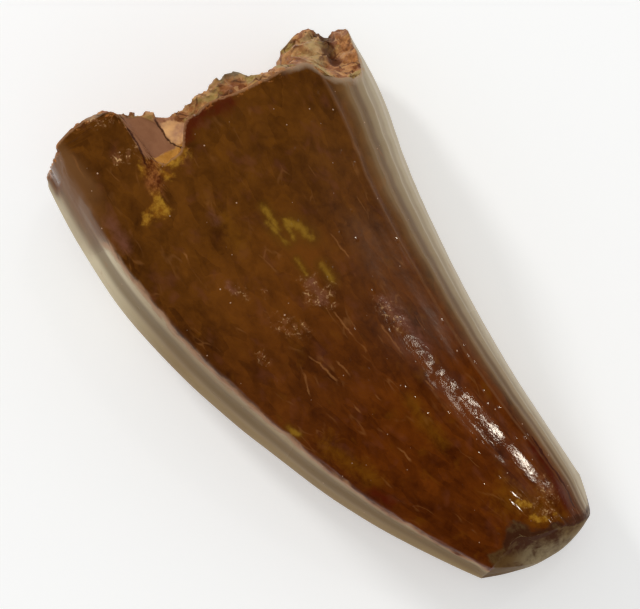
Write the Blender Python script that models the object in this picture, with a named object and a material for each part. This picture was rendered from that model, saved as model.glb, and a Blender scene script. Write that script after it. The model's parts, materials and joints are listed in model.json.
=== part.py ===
"""Fossil mosasaur tooth crown, broken off its root and lying on its side.

Run it with: blender --background --python part.py

The crown lies along X. Its broken base is at -X, its worn tip at +X. Y is across it, with the convex front
edge at -Y and the hollow back edge at +Y. Z is up, and the crown rests on the flat strip of its underside,
in the plane Z = 0. The origin is in that plane, under the middle of the crown's outline.

The form is a loft. One girth template is scaled between the front edge, the back edge and the crest, from
the jagged rim of the broken base to the rim of the worn tip. It is made from a sphere: each ring of the
sphere is moved to its place on the crown.
"""

import math

import bmesh
import bpy
import numpy as np
from mathutils import Vector, noise

MM = 0.001

# Driving dimensions, in metres.
CROWN_LENGTH = 31.0 * MM  # from the furthest splinter of the base to the tip
CREST_AT_BASE = 10.9 * MM  # thickness of the crown beside the broken base
CREST_AT_TIP = 4.9 * MM  # thickness at the worn tip
FLUTE_STRENGTH_AT_TIP = 0.45  # share of the flutes' depth that is left at the tip
WALL_WAVE = 0.07 * MM  # slow unevenness of the enamel
HACKLE = 0.36 * MM  # roughness of the broken base
RIM_JAG = 0.14 * MM  # roughness of its rim
TIP_WAVE = 0.05 * MM  # roughness of the worn tip
TIP_LIFT = 0.9 * MM  # how far the underside lifts off the table at the tip

# Rails: (distance from the base end, place across), in millimetres.
FRONT_EDGE = [(0, -7.1), (3.5, -7.75), (7.5, -8.07), (12, -7.75), (17, -6.9), (22, -5.55), (26.5, -3.75),
              (29.6, -2.15), (31, -1.3)]
BACK_EDGE = [(0, 10.45), (3.5, 9.92), (7.1, 9.33), (11.3, 7.85), (15.4, 6.82), (19.5, 6.05), (23.5, 5.5),
             (27.5, 5.2), (29.7, 4.85), (31, 3.9)]
CREST = [(0, 1.0), (8, 0.97), (15, 0.82), (22, 0.52), (28, 0.18), (31, 0.0)]  # 1 is base, 0 is tip height
LIFT_STATION = 22.0  # from here to the tip, the underside lifts off the table

# Girth template, counterclockwise seen from the base: (across, height), where across runs from -1 at the
# front edge to 1 at the back edge, and height from 0 at the belly to 1 at the crest.
FLUTES = [(1.000, 0.300), (0.990, 0.375), (0.955, 0.430), (0.945, 0.515), (0.900, 0.565), (0.880, 0.650),
          (0.825, 0.700), (0.795, 0.765), (0.735, 0.810)]
FACE_ACROSS = np.linspace(0.66, -0.76, 18)  # the upper face is a parabola, flatter towards the front
FACE_FALL = 0.24
FACE_MIDDLE = -0.18
CARINA = [(-0.825, 0.905), (-0.862, 0.895), (-0.882, 0.800), (-0.908, 0.670), (-0.932, 0.570),
          (-0.950, 0.495), (-0.960, 0.420), (-0.990, 0.350), (-1.000, 0.290)]
UNDERSIDE = [(-0.975, 0.205), (-0.895, 0.130), (-0.765, 0.070), (-0.580, 0.025), (-0.360, 0.000),
             (0.000, 0.000), (0.340, 0.000), (0.580, 0.028), (0.770, 0.075), (0.905, 0.140), (0.978, 0.220)]
WIDEST = 0.3  # height of the two edges: the upper rim runs above it, the lower rim below
SECTION_CENTRE = (0.0, 0.45)  # the spokes of both end faces start here, in template units

# Where the enamel ends at the broken base: (place across, distance from the base end), in millimetres.
BASE_STATION = 3.5  # the section whose width the places across are measured on
UPPER_RIM = [(-7.8, 0.0), (-7.4, 0.15), (-7.0, 0.4), (-6.6, 0.75), (-6.0, 0.6), (-5.0, 0.5), (-3.95, 0.8),
             (-2.95, 1.45), (-2.85, 4.4), (-2.3, 4.9), (-1.4, 4.9), (-0.9, 4.3), (-0.5, 3.8), (1.0, 3.75),
             (2.3, 4.1), (3.1, 4.2), (4.4, 4.35), (6.2, 4.6), (6.6, 4.85), (6.95, 5.6), (7.3, 6.15),
             (8.3, 6.5), (8.9, 6.25), (9.3, 5.2), (9.55, 4.4), (9.85, 3.4)]
LOWER_RIM = [(-7.8, 0.0), (-7.3, 0.15), (-6.6, 0.9), (-5.0, 1.6), (-3.5, 1.3), (-2.0, 2.2), (0.0, 2.9),
             (1.6, 2.4), (3.2, 3.0), (4.6, 3.6), (6.0, 2.1), (6.4, 1.5), (7.9, 1.2), (8.6, 1.2),
             (9.1, 2.7), (9.5, 2.6), (9.75, 2.7), (9.95, 3.2)]
# How far the dentine of the base reaches, and how gently the fracture runs to it from the enamel, as a
# share of the way to the middle. Both go by the place across.
CORE_REACH = [(-7.8, 0.6), (-6.0, 1.0), (-5.0, 0.7), (-3.5, 0.9), (-2.8, 1.5), (-2.3, 1.85), (-1.6, 2.0),
              (-1.2, 2.7), (-0.45, 2.9), (0.55, 2.8), (2.0, 2.65), (2.9, 2.5), (3.4, 3.2), (3.7, 3.6),
              (5.7, 3.5), (6.5, 3.0), (8.0, 2.9), (9.4, 3.3)]
FRACTURE_SLOPE = [(-7.8, 0.12), (-3.2, 0.10), (-2.8, 0.05), (-0.6, 0.05), (0.2, 0.12), (5.0, 0.16),
                  (7.2, 0.36), (9.9, 0.40)]
CORE_HOLLOW = 1.3  # how much deeper the fracture lies in its middle, in millimetres
CORE_STEP = 0.5  # how far it lies inside the lower rim
ENAMEL_BAND = 0.04  # share of the way to the middle that is the enamel's own broken edge

# The worn tip, over the width of its section, in the same units.
TIP_STATION = 29.5
UPPER_TIP = [(-2.3, 29.6), (-1.5, 29.5), (-0.6, 29.4), (-0.2, 29.2), (0.3, 29.25), (0.8, 29.6), (1.7, 29.9),
             (2.6, 30.1), (3.3, 30.4), (4.9, 30.5)]
LOWER_TIP = [(-2.3, 29.6), (-1.0, 30.1), (1.0, 30.6), (3.0, 30.7), (4.9, 30.5)]
TIP_REACH = [(-2.3, 29.7), (-1.0, 30.3), (0.3, 30.8), (1.7, 31.0), (3.2, 30.95), (4.2, 30.65), (4.9, 30.4)]
TIP_BULGE = 1.5  # 1 would be a cone; more makes the worn face round

# Rings, from the middle of the base over its rim, along the enamel, over the tip's rim to its middle.
BASE_SPOKE = [0.0, 0.11, 0.22, 0.33, 0.43, 0.53, 0.62, 0.70, 0.77, 0.83, 0.88, 0.915, 0.94, 0.962, 0.99]
WALL_SHARES = [0.0, 0.006, 0.018, *np.linspace(0.036, 1.0, 21)]
TIP_SPOKE = [0.985, 0.93, 0.84, 0.70, 0.52, 0.32, 0.14, 0.0]
RIM_FADE = 6  # how soon the rings of the enamel lose the shape of the two rims


def smooth_rail(stations):
    """A smooth curve through the stations, as a function of the distance from the base end."""
    x, y = np.array(stations, float).T
    slope = np.gradient(y, x)

    def at(where):
        where = min(max(where, x[0]), x[-1])
        i = min(int(np.searchsorted(x, where, side="right")) - 1, len(x) - 2)
        span = x[i + 1] - x[i]
        t = (where - x[i]) / span
        return ((2 * t**3 - 3 * t**2 + 1) * y[i] + (t**3 - 2 * t**2 + t) * span * slope[i]
                + (3 * t**2 - 2 * t**3) * y[i + 1] + (t**3 - t**2) * span * slope[i + 1])

    return at


def jagged(profile):
    """A broken line through the profile, as a function of the place across."""
    across, reach = np.array(profile, float).T
    return lambda y: float(np.interp(y, across, reach))


def girth_points():
    """The template with one rounded point added between each two, and the same template without flutes."""
    face = [(across, 1 - FACE_FALL * (across - FACE_MIDDLE) ** 2) for across in FACE_ACROSS]
    corner = np.array(FLUTES + face + CARINA + UNDERSIDE)
    before, after, beyond = (np.roll(corner, shift, axis=0) for shift in (1, -1, -2))
    middle = (9 * (corner + after) - before - beyond) / 16
    fluted = np.stack([corner, middle], axis=1).reshape(-1, 2)
    fluted[:, 1] = np.maximum(fluted[:, 1], 0)
    averaged = sum(np.roll(fluted, shift, axis=0) for shift in (-3, -2, -1, 0, 1, 2, 3)) / 7
    on_back = (fluted[:, 0] > 0) & (fluted[:, 1] > 0)
    return fluted, np.where(on_back[:, None], averaged, fluted)


front_edge, back_edge = smooth_rail(FRONT_EDGE), smooth_rail(BACK_EDGE)
crest_share = smooth_rail(CREST)
upper_rim, lower_rim = jagged(UPPER_RIM), jagged(LOWER_RIM)
core_reach, fracture_slope = jagged(CORE_REACH), jagged(FRACTURE_SLOPE)
upper_tip, lower_tip, tip_reach = jagged(UPPER_TIP), jagged(LOWER_TIP), jagged(TIP_REACH)
FLUTED, PLAIN = girth_points()
SEGMENTS = len(FLUTED)
WALL_START = len(BASE_SPOKE)
WALL_END = WALL_START + len(WALL_SHARES) - 1
RINGS = WALL_END + len(TIP_SPOKE)


def across_at(station, share):
    """Place across, in millimetres, of a template share at one station."""
    front, back = front_edge(station), back_edge(station)
    return (front + back) / 2 + share * (back - front) / 2


def on_section(x, across, height):
    """Point of the section at x millimetres, from its template place."""
    crest = (CREST_AT_TIP + crest_share(x) * (CREST_AT_BASE - CREST_AT_TIP)) / MM
    lift = max(x - LIFT_STATION, 0) / (CROWN_LENGTH / MM - LIFT_STATION)
    belly = TIP_LIFT / MM * lift**2
    return Vector((x, across_at(x, across), belly + height * (crest - belly)))


def girth_place(x, segment):
    """Template place of one segment, where the flutes fade towards the tip."""
    strength = 1 - (1 - FLUTE_STRENGTH_AT_TIP) * x * MM / CROWN_LENGTH
    return PLAIN[segment] + strength * (FLUTED[segment] - PLAIN[segment])


def rim_of(segment, station, upper, lower):
    """Where the enamel ends along one segment, given the profiles of the upper and the lower side."""
    across, height = FLUTED[segment]
    place = across_at(station, across)
    if height > WIDEST:
        return upper(place)
    return lower(place)


def wave(point, scale, seed):
    """Smooth unevenness from -1 to 1 about, at a scale in millimetres."""
    return noise.noise(point / scale + Vector((seed, -seed, 2 * seed)))


def wall_point(ring, segment):
    """Point on the enamel."""
    start = rim_of(segment, BASE_STATION, upper_rim, lower_rim) - BASE_STATION
    end = rim_of(segment, TIP_STATION, upper_tip, lower_tip) - TIP_STATION
    share = WALL_SHARES[ring - WALL_START]
    x = BASE_STATION + (TIP_STATION - BASE_STATION) * share
    x += start * (1 - share) ** RIM_FADE + end * share**RIM_FADE
    across, height = girth_place(x, segment)
    point = on_section(x, across, height)
    point.x += wave(point, 0.9, 5.0) * RIM_JAG / MM * (1 - share) ** RIM_FADE
    if height > 0:
        centre = on_section(x, *SECTION_CENTRE)
        lift = min(height / 0.1, 1.0) * wave(point, 3.5, 4.0) * WALL_WAVE / MM
        point += (point - centre).normalized() * lift
    return point


def spoke_place(rim, share, station):
    """Place on an end face, a share of the way from its centre to its rim point."""
    place = on_section(station, *SECTION_CENTRE).lerp(rim, share)
    return place.y, place.z


def core_at(y, z, share):
    """How far the dentine reaches at one place of the broken base."""
    down = min(max(1 - z * MM / CREST_AT_BASE, 0), 1)
    down = down * down * (3 - 2 * down)
    reach = core_reach(y) + down * (lower_rim(y) + CORE_STEP - core_reach(y))
    return reach + CORE_HOLLOW * (1 - share**2) ** 2


def base_point(ring, segment):
    """Point on the broken base."""
    share = BASE_SPOKE[ring]
    rim = wall_point(WALL_START, segment)
    y, z = spoke_place(rim, share, BASE_STATION)
    into = min(max((1 - share - ENAMEL_BAND) / fracture_slope(y), 0), 1)
    into = into * into * (3 - 2 * into)
    x = rim.x + into * (core_at(y, z, share) - rim.x)
    rough = wave(Vector((0, y, z)), 2.3, 11.0) + 0.6 * wave(Vector((0, y, z)), 1.1, 7.0)
    x += rough * HACKLE / MM * min((1 - share) / 0.1, 1.0)
    return Vector((x, y, z))


def tip_point(ring, segment):
    """Point on the worn tip."""
    share = TIP_SPOKE[ring - WALL_END - 1]
    rim = wall_point(WALL_END, segment)
    y, z = spoke_place(rim, share, TIP_STATION)
    x = tip_reach(y) + share**TIP_BULGE * (rim.x - tip_reach(rim.y))
    point = Vector((x, y, z))
    point.x += wave(point, 1.2, 3.0) * TIP_WAVE / MM
    return point


def crown_point(ring, segment):
    """Point of the crown, counting the rings from the middle of the base."""
    if ring < WALL_START:
        return base_point(ring, segment)
    if ring <= WALL_END:
        return wall_point(ring, segment)
    return tip_point(ring, segment)


def crown_mesh():
    """A sphere whose rings are moved to the crown, with its base end at the sphere's lower pole."""
    shape = bmesh.new()
    bmesh.ops.create_uvsphere(shape, u_segments=SEGMENTS, v_segments=RINGS, radius=1)
    for vertex in shape.verts:
        polar = math.acos(min(max(-vertex.co.z, -1), 1))
        around = math.atan2(vertex.co.y, vertex.co.x) % math.tau
        ring = round(polar / math.pi * RINGS)
        segment = round(around / math.tau * SEGMENTS) % SEGMENTS
        vertex.co = crown_point(ring, segment) * MM
    lowest = [min(vertex.co[axis] for vertex in shape.verts) for axis in range(3)]
    highest = [max(vertex.co[axis] for vertex in shape.verts) for axis in range(3)]
    middle = Vector((lowest[0] + highest[0], lowest[1] + highest[1], 0)) / 2
    bmesh.ops.translate(shape, verts=shape.verts, vec=-middle)
    mesh = bpy.data.meshes.new("tooth")
    shape.to_mesh(mesh)
    shape.free()
    mesh.shade_smooth()
    mesh.set_sharp_from_angle(angle=math.radians(40))
    return mesh


def enamel():
    """Dark brown fossil enamel, glossy."""
    material = bpy.data.materials.new("enamel")
    material.use_nodes = True
    shader = material.node_tree.nodes["Principled BSDF"]
    shader.inputs["Base Color"].default_value = (0.11, 0.035, 0.006, 1)
    shader.inputs["Roughness"].default_value = 0.15
    shader.inputs["Metallic"].default_value = 0.0
    return material


def build():
    for old in list(bpy.data.objects):
        bpy.data.objects.remove(old)
    collection = bpy.data.collections.new("fossil_tooth")
    bpy.context.scene.collection.children.link(collection)
    tooth = bpy.data.objects.new("tooth", crown_mesh())
    tooth.data.materials.append(enamel())
    collection.objects.link(tooth)


build()
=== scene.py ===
# %% [markdown]
# # A fossil tooth crown
# This is the crown of a mosasaur's tooth, broken off its root and turned to stone. It is one natural piece:
# a hard, glassy skin of enamel over a duller core of dentine, which shows only where the crown is broken.
# It lies on its side. Its jagged, broken base is at -X and its worn tip at +X, and +Z is up.
#
# The solid of the crown comes from the frame. This script copies it, carves the fine surface into the copy
# and gives it its finish.

# %% Load the frame
import json
import math

import bmesh
import bpy
import numpy as np
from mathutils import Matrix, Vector, kdtree, noise

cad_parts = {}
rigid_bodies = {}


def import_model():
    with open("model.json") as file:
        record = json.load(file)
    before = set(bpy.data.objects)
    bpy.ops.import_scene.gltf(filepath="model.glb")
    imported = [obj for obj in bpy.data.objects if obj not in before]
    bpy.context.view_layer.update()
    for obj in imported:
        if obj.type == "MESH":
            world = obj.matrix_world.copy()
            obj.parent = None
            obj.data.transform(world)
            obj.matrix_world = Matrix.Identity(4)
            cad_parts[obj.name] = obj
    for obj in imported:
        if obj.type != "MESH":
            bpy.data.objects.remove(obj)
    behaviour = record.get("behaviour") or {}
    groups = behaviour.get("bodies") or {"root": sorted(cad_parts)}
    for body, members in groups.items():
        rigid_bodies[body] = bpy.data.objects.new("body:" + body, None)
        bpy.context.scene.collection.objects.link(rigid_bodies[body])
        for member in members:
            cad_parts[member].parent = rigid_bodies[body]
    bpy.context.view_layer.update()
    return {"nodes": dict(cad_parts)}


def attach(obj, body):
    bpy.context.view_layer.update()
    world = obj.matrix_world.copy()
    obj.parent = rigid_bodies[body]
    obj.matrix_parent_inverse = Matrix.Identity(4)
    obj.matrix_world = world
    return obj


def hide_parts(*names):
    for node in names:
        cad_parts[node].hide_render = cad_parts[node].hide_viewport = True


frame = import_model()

MM = 0.001  # the frame is in metres, and the sizes below are in millimetres

# %% [markdown]
# ## The camera
# A small object is best seen through a long lens, which keeps its proportions. The camera is placed by the
# point it looks at and two angles, which are easy to correct: the azimuth turns it round the object, and the
# elevation lifts it above the table.

# %% Camera
AZIMUTH = math.radians(52)
ELEVATION = math.radians(80)
LENS = 120  # mm, on the usual sensor 36 mm wide
SENSOR = 36
VIEW_WIDTH = 32 * MM  # what the camera sees from side to side
LOOK_AT = Vector((-1.42, -1.2, 5.0)) * MM

right = Vector((math.cos(AZIMUTH), math.sin(AZIMUTH), 0))
back = Vector((math.sin(AZIMUTH) * math.cos(ELEVATION), -math.cos(AZIMUTH) * math.cos(ELEVATION),
               math.sin(ELEVATION)))
distance = VIEW_WIDTH * LENS / SENSOR
bpy.ops.object.camera_add(location=LOOK_AT + back * distance)
camera = bpy.context.object
camera.rotation_euler = back.to_track_quat("Z", "Y").to_euler()
camera.data.lens = LENS
camera.data.sensor_width = SENSOR
camera.data.clip_start = 1 * MM
bpy.context.scene.camera = camera
turned = camera.rotation_euler.to_matrix()
print("The camera's right side is off by", round((Vector(turned.col[0]) - right).length, 4))

# %% [markdown]
# ## The light
# Glassy enamel is a mirror for the room. A face that looks up shows the room's dark middle, which keeps its
# brown deep, and a flank shows the bright walls and the table, which makes it pale. So in reflections the sky
# is bright near the horizon and dark overhead. For all else it is evenly bright, like a light tent, so that
# shadows stay faint.

# %% Sky
TENT = 0.58  # brightness of the sky as a light
WALLS = 0.95  # its brightness in reflections, near the horizon
CEILING = 0.012  # and overhead
BRIGHT_BELOW = math.radians(3)
DARK_ABOVE = math.radians(20)

world = bpy.data.worlds.new("soft_room")
bpy.context.scene.world = world
world.use_nodes = True
sky = world.node_tree
background = sky.nodes["Background"]
background.inputs["Color"].default_value = (1.0, 1.0, 0.995, 1)
direction = sky.nodes.new("ShaderNodeTexCoord")
upward = sky.nodes.new("ShaderNodeSeparateXYZ")
fade = sky.nodes.new("ShaderNodeMapRange")
fade.interpolation_type = "SMOOTHSTEP"
fade.inputs["From Min"].default_value = math.sin(DARK_ABOVE)
fade.inputs["From Max"].default_value = math.sin(BRIGHT_BELOW)
fade.inputs["To Min"].default_value = CEILING
fade.inputs["To Max"].default_value = WALLS
ray = sky.nodes.new("ShaderNodeLightPath")
choice = sky.nodes.new("ShaderNodeMix")
choice.inputs["A"].default_value = TENT
sky.links.new(direction.outputs["Generated"], upward.inputs[0])
sky.links.new(upward.outputs["Z"], fade.inputs["Value"])
sky.links.new(ray.outputs["Is Glossy Ray"], choice.inputs["Factor"])
sky.links.new(fade.outputs["Result"], choice.inputs["B"])
sky.links.new(choice.outputs["Result"], background.inputs["Strength"])
bpy.context.scene.view_settings.view_transform = "Standard"
print("The sky is", TENT, "bright as a light, and in reflections", WALLS, "low down and", CEILING, "overhead")

# %% [markdown]
# Three lamps stand round the table. The ridge lamp is only for gloss: it draws the broken line of light
# along the crown's ridge. The other two are only for light and shadow. The side lamp, beyond the broken base,
# throws the shadow beside the fluted edge, and the weaker rear lamp the faint one under the front edge.


# %% Lamps
def soft_lamp(name, azimuth, elevation, away, size, power, gloss=True, shade=True):
    """A round lamp that looks at the crown. It can leave out its gloss, or its light and shadow."""
    azimuth, elevation = math.radians(azimuth), math.radians(elevation)
    towards = Vector((math.cos(azimuth) * math.cos(elevation), math.sin(azimuth) * math.cos(elevation),
                      math.sin(elevation)))
    bpy.ops.object.light_add(type="AREA", location=towards * away)
    lamp = bpy.context.object
    lamp.name = name
    lamp.rotation_euler = towards.to_track_quat("Z", "Y").to_euler()
    lamp.data.shape = "DISK"
    lamp.data.size = size
    lamp.data.energy = power
    lamp.visible_glossy = gloss
    lamp.visible_diffuse = shade
    print(name, "at", [round(place, 3) for place in lamp.location])


soft_lamp("ridge_lamp", azimuth=59.5, elevation=37.5, away=0.25, size=0.042, power=0.26, shade=False)
soft_lamp("rear_lamp", azimuth=110, elevation=63, away=0.4, size=0.03, power=0.03, gloss=False)
soft_lamp("side_lamp", azimuth=186, elevation=31, away=0.4, size=0.06, power=0.45, gloss=False)

# %% [markdown]
# ## The table
# A plain pale sheet, which glows a little so that it stays nearly white. It is stage, not part of the object.

# %% Table
TABLE_SIDE = 0.8
PAPER_GLOW = 0.305  # it lifts the table to the near-white of the room

bpy.ops.mesh.primitive_plane_add(size=TABLE_SIDE, location=(0, 0, 0))
table = bpy.context.object
table.name = "table"
paper = bpy.data.materials.new("paper")
paper.use_nodes = True
paper_shader = paper.node_tree.nodes["Principled BSDF"]
paper_shader.inputs["Base Color"].default_value = (0.88, 0.885, 0.88, 1)
paper_shader.inputs["Roughness"].default_value = 0.9
paper_shader.inputs["Specular IOR Level"].default_value = 0.1
paper_shader.inputs["Emission Color"].default_value = (1.0, 1.0, 1.0, 1)
paper_shader.inputs["Emission Strength"].default_value = PAPER_GLOW
table.data.materials.append(paper)
print("The table is", TABLE_SIDE, "m wide")

# %% [markdown]
# ## The crown, from its solid
# The solid has the crown's true outline, its flutes and its broken ends, in a few thousand flat triangles.
# Modelling the enamel afresh would only lose that, so the crown starts as a copy of the solid. In the copy
# each triangle still has corners of its own, and merging them makes one closed skin.


# %% Copy the solid
MERGE_WITHIN = 0.001 * MM


def only(piece):
    """Deselects everything, then selects one piece and makes it the active one."""
    bpy.ops.object.select_all(action="DESELECT")
    piece.select_set(True)
    bpy.context.view_layer.objects.active = piece


crown = bpy.data.objects.new("tooth_crown", frame["nodes"]["tooth"].data.copy())
bpy.context.scene.collection.objects.link(crown)
crown.data.materials.clear()
only(crown)
bpy.ops.mesh.customdata_custom_splitnormals_clear()
bpy.ops.object.mode_set(mode="EDIT")
bpy.ops.mesh.select_mode(type="VERT")
bpy.ops.mesh.select_all(action="SELECT")
bpy.ops.mesh.remove_doubles(threshold=MERGE_WITHIN)
bpy.ops.object.mode_set(mode="OBJECT")
print("The copy has", len(crown.data.vertices), "points and", len(crown.data.polygons), "triangles")

# %% [markdown]
# The solid was drawn as rings of points around its length, with a star of edges in the middle of each end.
# Growing a selection from such a star, one step at a time, numbers the rings. The numbers tell the broken
# base, the enamel and the worn tip apart, which their places alone would not: the rim of the base is ragged.

# %% Number the rings
BASE_RIM = 15  # the ring where the enamel starts, counted from the middle of the base
TIP_RIM = 8  # the ring where it ends, counted from the middle of the worn tip


def star_points(piece):
    """The middle points of the base and of the tip, where most edges meet."""
    meeting = np.zeros(len(piece.data.vertices), int)
    for edge in piece.data.edges:
        meeting[list(edge.vertices)] += 1
    first, second = (int(point) for point in np.argsort(meeting)[-2:])
    return sorted((first, second), key=lambda point: piece.data.vertices[point].co.x)


def ring_numbers(piece, start):
    """The number of steps from the start point to every point, found by growing a selection."""
    only(piece)
    bpy.ops.object.mode_set(mode="EDIT")
    bpy.ops.mesh.select_all(action="DESELECT")
    shape = bmesh.from_edit_mesh(piece.data)
    shape.verts.ensure_lookup_table()
    shape.verts[start].select_set(True)
    ring = np.full(len(shape.verts), -1)
    step = 0
    while (ring < 0).any() and step < len(ring):
        chosen = np.array([point.select for point in shape.verts])
        ring[chosen & (ring < 0)] = step
        bpy.ops.mesh.select_more()
        step += 1
    bpy.ops.object.mode_set(mode="OBJECT")
    return ring


def keep(piece, name, values, kind="FLOAT"):
    """Stores one value for each point of a piece, under a name that a material can read."""
    attribute = piece.data.attributes.new(name, kind, "POINT")
    field = "vector" if kind == "FLOAT_VECTOR" else "value"
    attribute.data.foreach_set(field, np.ascontiguousarray(values, dtype=np.float32).ravel())


def kept(piece, name):
    """Reads such values back."""
    values = np.empty(len(piece.data.vertices), np.float32)
    piece.data.attributes[name].data.foreach_get("value", values)
    return values


base_star, tip_star = star_points(crown)
keep(crown, "from_base", ring_numbers(crown, base_star))
keep(crown, "from_tip", ring_numbers(crown, tip_star))
print("Rings from base to tip:", int(kept(crown, "from_base").max()))

# %% [markdown]
# ## A finer skin
# Turning the triangles back into four-sided faces and subdividing them gives a smooth skin that is fine
# enough to carve. The two rims get a crease, because a broken edge of enamel is sharp.

# %% Subdivide
RIM_CREASE = 0.5
FINENESS = 2

only(crown)
bpy.ops.object.mode_set(mode="EDIT")
bpy.ops.mesh.select_all(action="SELECT")
bpy.ops.mesh.tris_convert_to_quads(face_threshold=math.radians(70), shape_threshold=math.pi,
                                   topology_influence=2)
bpy.ops.mesh.select_all(action="DESELECT")
bpy.ops.mesh.select_mode(type="EDGE")
bpy.ops.object.mode_set(mode="OBJECT")
on_rim = (kept(crown, "from_base") == BASE_RIM) | (kept(crown, "from_tip") == TIP_RIM)
for edge in crown.data.edges:
    edge.select = all(on_rim[point] for point in edge.vertices)
bpy.ops.object.mode_set(mode="EDIT")
bpy.ops.transform.edge_crease(value=RIM_CREASE)
bpy.ops.object.mode_set(mode="OBJECT")

finer = crown.modifiers.new("finer", "SUBSURF")
finer.levels = FINENESS
finer.render_levels = FINENESS
bpy.ops.object.modifier_apply(modifier=finer.name)
print("The fine skin has", len(crown.data.vertices), "points")

# %% [markdown]
# ## Where each point lies
# The carving and the colours both need to know how far a point is from the enamel's two rims, and where it
# lies along the grain. The grain runs from base to tip and draws together with the outline. So the place
# across is a share of the crown's width there, and the height a share of its thickness there.


# %% Measure the points
def places(piece):
    """All points of a piece, in millimetres."""
    flat = np.empty(len(piece.data.vertices) * 3, np.float32)
    piece.data.vertices.foreach_get("co", flat)
    return flat.reshape(-1, 3).astype(float) / MM


def distance_to(points, targets):
    """How far each point lies from the nearest of the targets."""
    tree = kdtree.KDTree(len(targets))
    for index, target in enumerate(targets):
        tree.insert(Vector(target), index)
    tree.balance()
    return np.array([tree.find(Vector(point))[2] for point in points])


def rim_distance(name, rim):
    """Distance to a rim: more than 0 on the enamel, less than 0 on the broken or worn face inside it."""
    ring = kept(crown, name)
    points = places(crown)
    side = np.where(ring >= rim, 1, -1)
    return side * distance_to(points, points[np.abs(ring - rim) < 0.05])


def grain_places(points, step=0.5):
    """Places along the grain: along in millimetres, then across and up in shares of width and thickness."""
    slots = np.round(points[:, 0] / step).astype(int)
    along = np.unique(slots)
    front, rear, top = (np.array([reach(points[slots == slot, axis]) for slot in along])
                        for reach, axis in ((np.min, 1), (np.max, 1), (np.max, 2)))
    low, high, crest = (np.interp(points[:, 0], along * step, edge) for edge in (front, rear, top))
    across = (2 * points[:, 1] - low - high) / np.maximum(high - low, 1)
    return np.stack([points[:, 0], across, points[:, 2] / crest], axis=1)


base_distance = rim_distance("from_base", BASE_RIM)
tip_distance = rim_distance("from_tip", TIP_RIM)
grain = grain_places(places(crown))
keep(crown, "base_distance", base_distance)
keep(crown, "grain", grain, "FLOAT_VECTOR")
print("The broken base reaches", round(-base_distance.min(), 2), "mm inside its rim")

# %% [markdown]
# ## Carving tools
# Carving moves each point along its own normal, and never below the table. Noise gives natural unevenness:
# its grain may be longer one way than another, and finer copies of it make a surface crumbly. Facets are flat
# chips that each tilt their own way. A ramp limits any of them to one area, and so does the distance to a
# path of straight pieces. The tilts draw on the noise module's seed, which the clock sets unless a script
# does. It is set here, so every run breaks the crown the same way.

# %% Carving tools
NOISE_SEED = 1
UPPER_SIDE = 0.05  # a normal that looks up more than this is on the upper side
FAR = 9.0  # mm, stands for a distance that doesn't matter

noise.seed_set(NOISE_SEED)
print("The chips are drawn from seed", NOISE_SEED)


def ramp(values, start, end):
    """Goes smoothly from 0 at start to 1 at end."""
    share = np.clip((values - start) / (end - start), 0, 1)
    return share * share * (3 - 2 * share)


def rough(points, size, seed, octaves=1):
    """Noise from about -1 to 1. Size is its grain in millimetres, one number or one for each direction."""
    placed = points / np.array(size) + seed
    return np.array([noise.fractal(Vector(place), 1.0, 2.0, octaves) for place in placed])


def facets(points, size, seed):
    """Heights from about -1 to 1 of flat chips of one size, each with a tilt and a level of its own."""
    heights = []
    for place in points / size + seed:
        spot = Vector(place)
        centre = noise.voronoi(spot)[1][0]
        tilt = noise.noise_vector(centre * 7.3)  # any factors do that part the draws of neighbouring chips
        heights.append(2 * (spot - centre).dot(tilt) + noise.noise(centre * 5.1))
    return np.array(heights)


def beside(points, path):
    """How far each point lies from a path of straight pieces, in as many directions as the path has."""
    nearest = np.full(len(points), np.inf)
    for start, end in zip(path, path[1:]):
        start, way = np.array(start), np.subtract(end, start)
        from_start = points[:, :len(start)] - start
        share = np.clip(from_start @ way / (way @ way), 0, 1)
        nearest = np.minimum(nearest, np.linalg.norm(from_start - share[:, None] * way, axis=1))
    return nearest


def within(points, outline):
    """Distance to a closed outline, seen from above: more than 0 inside it, less than 0 outside."""
    inside = np.zeros(len(points), bool)
    closed = [*outline, outline[0]]
    for (x, y), (next_x, next_y) in zip(closed, closed[1:]):
        if y != next_y:
            crossing = x + (points[:, 1] - y) * (next_x - x) / (next_y - y)
            inside ^= ((y > points[:, 1]) != (next_y > points[:, 1])) & (points[:, 0] < crossing)
    return np.where(inside, 1, -1) * beside(points, closed)


def carve(piece, height):
    """Moves the points of a piece along their normals, by heights in millimetres."""
    normals = np.empty(len(piece.data.vertices) * 3, np.float32)
    piece.data.vertex_normals.foreach_get("vector", normals)
    moved = places(piece) + normals.reshape(-1, 3) * np.asarray(height)[:, None]
    moved[:, 2] = np.maximum(moved[:, 2], 0)
    piece.data.vertices.foreach_set("co", (moved * MM).astype(np.float32).ravel())
    piece.data.update()
    print("Carved from", round(float(height.min()), 3), "to", round(float(height.max()), 3), "mm")


def even_out(piece, chosen, repeat):
    """Smooths the chosen points of a piece."""
    only(piece)
    bpy.ops.object.mode_set(mode="EDIT")
    bpy.ops.mesh.select_mode(type="VERT")
    bpy.ops.mesh.select_all(action="DESELECT")
    bpy.ops.object.mode_set(mode="OBJECT")
    piece.data.vertices.foreach_set("select", chosen)
    bpy.ops.object.mode_set(mode="EDIT")
    bpy.ops.mesh.vertices_smooth(factor=0.5, repeat=repeat)
    bpy.ops.object.mode_set(mode="OBJECT")
    print("Evened out", int(chosen.sum()), "points")


def looks_up(piece):
    """How much each point's normal looks up, from -1 to 1."""
    normals = np.empty(len(piece.data.vertices) * 3, np.float32)
    piece.data.vertex_normals.foreach_get("vector", normals)
    return normals.reshape(-1, 3)[:, 2]


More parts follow.
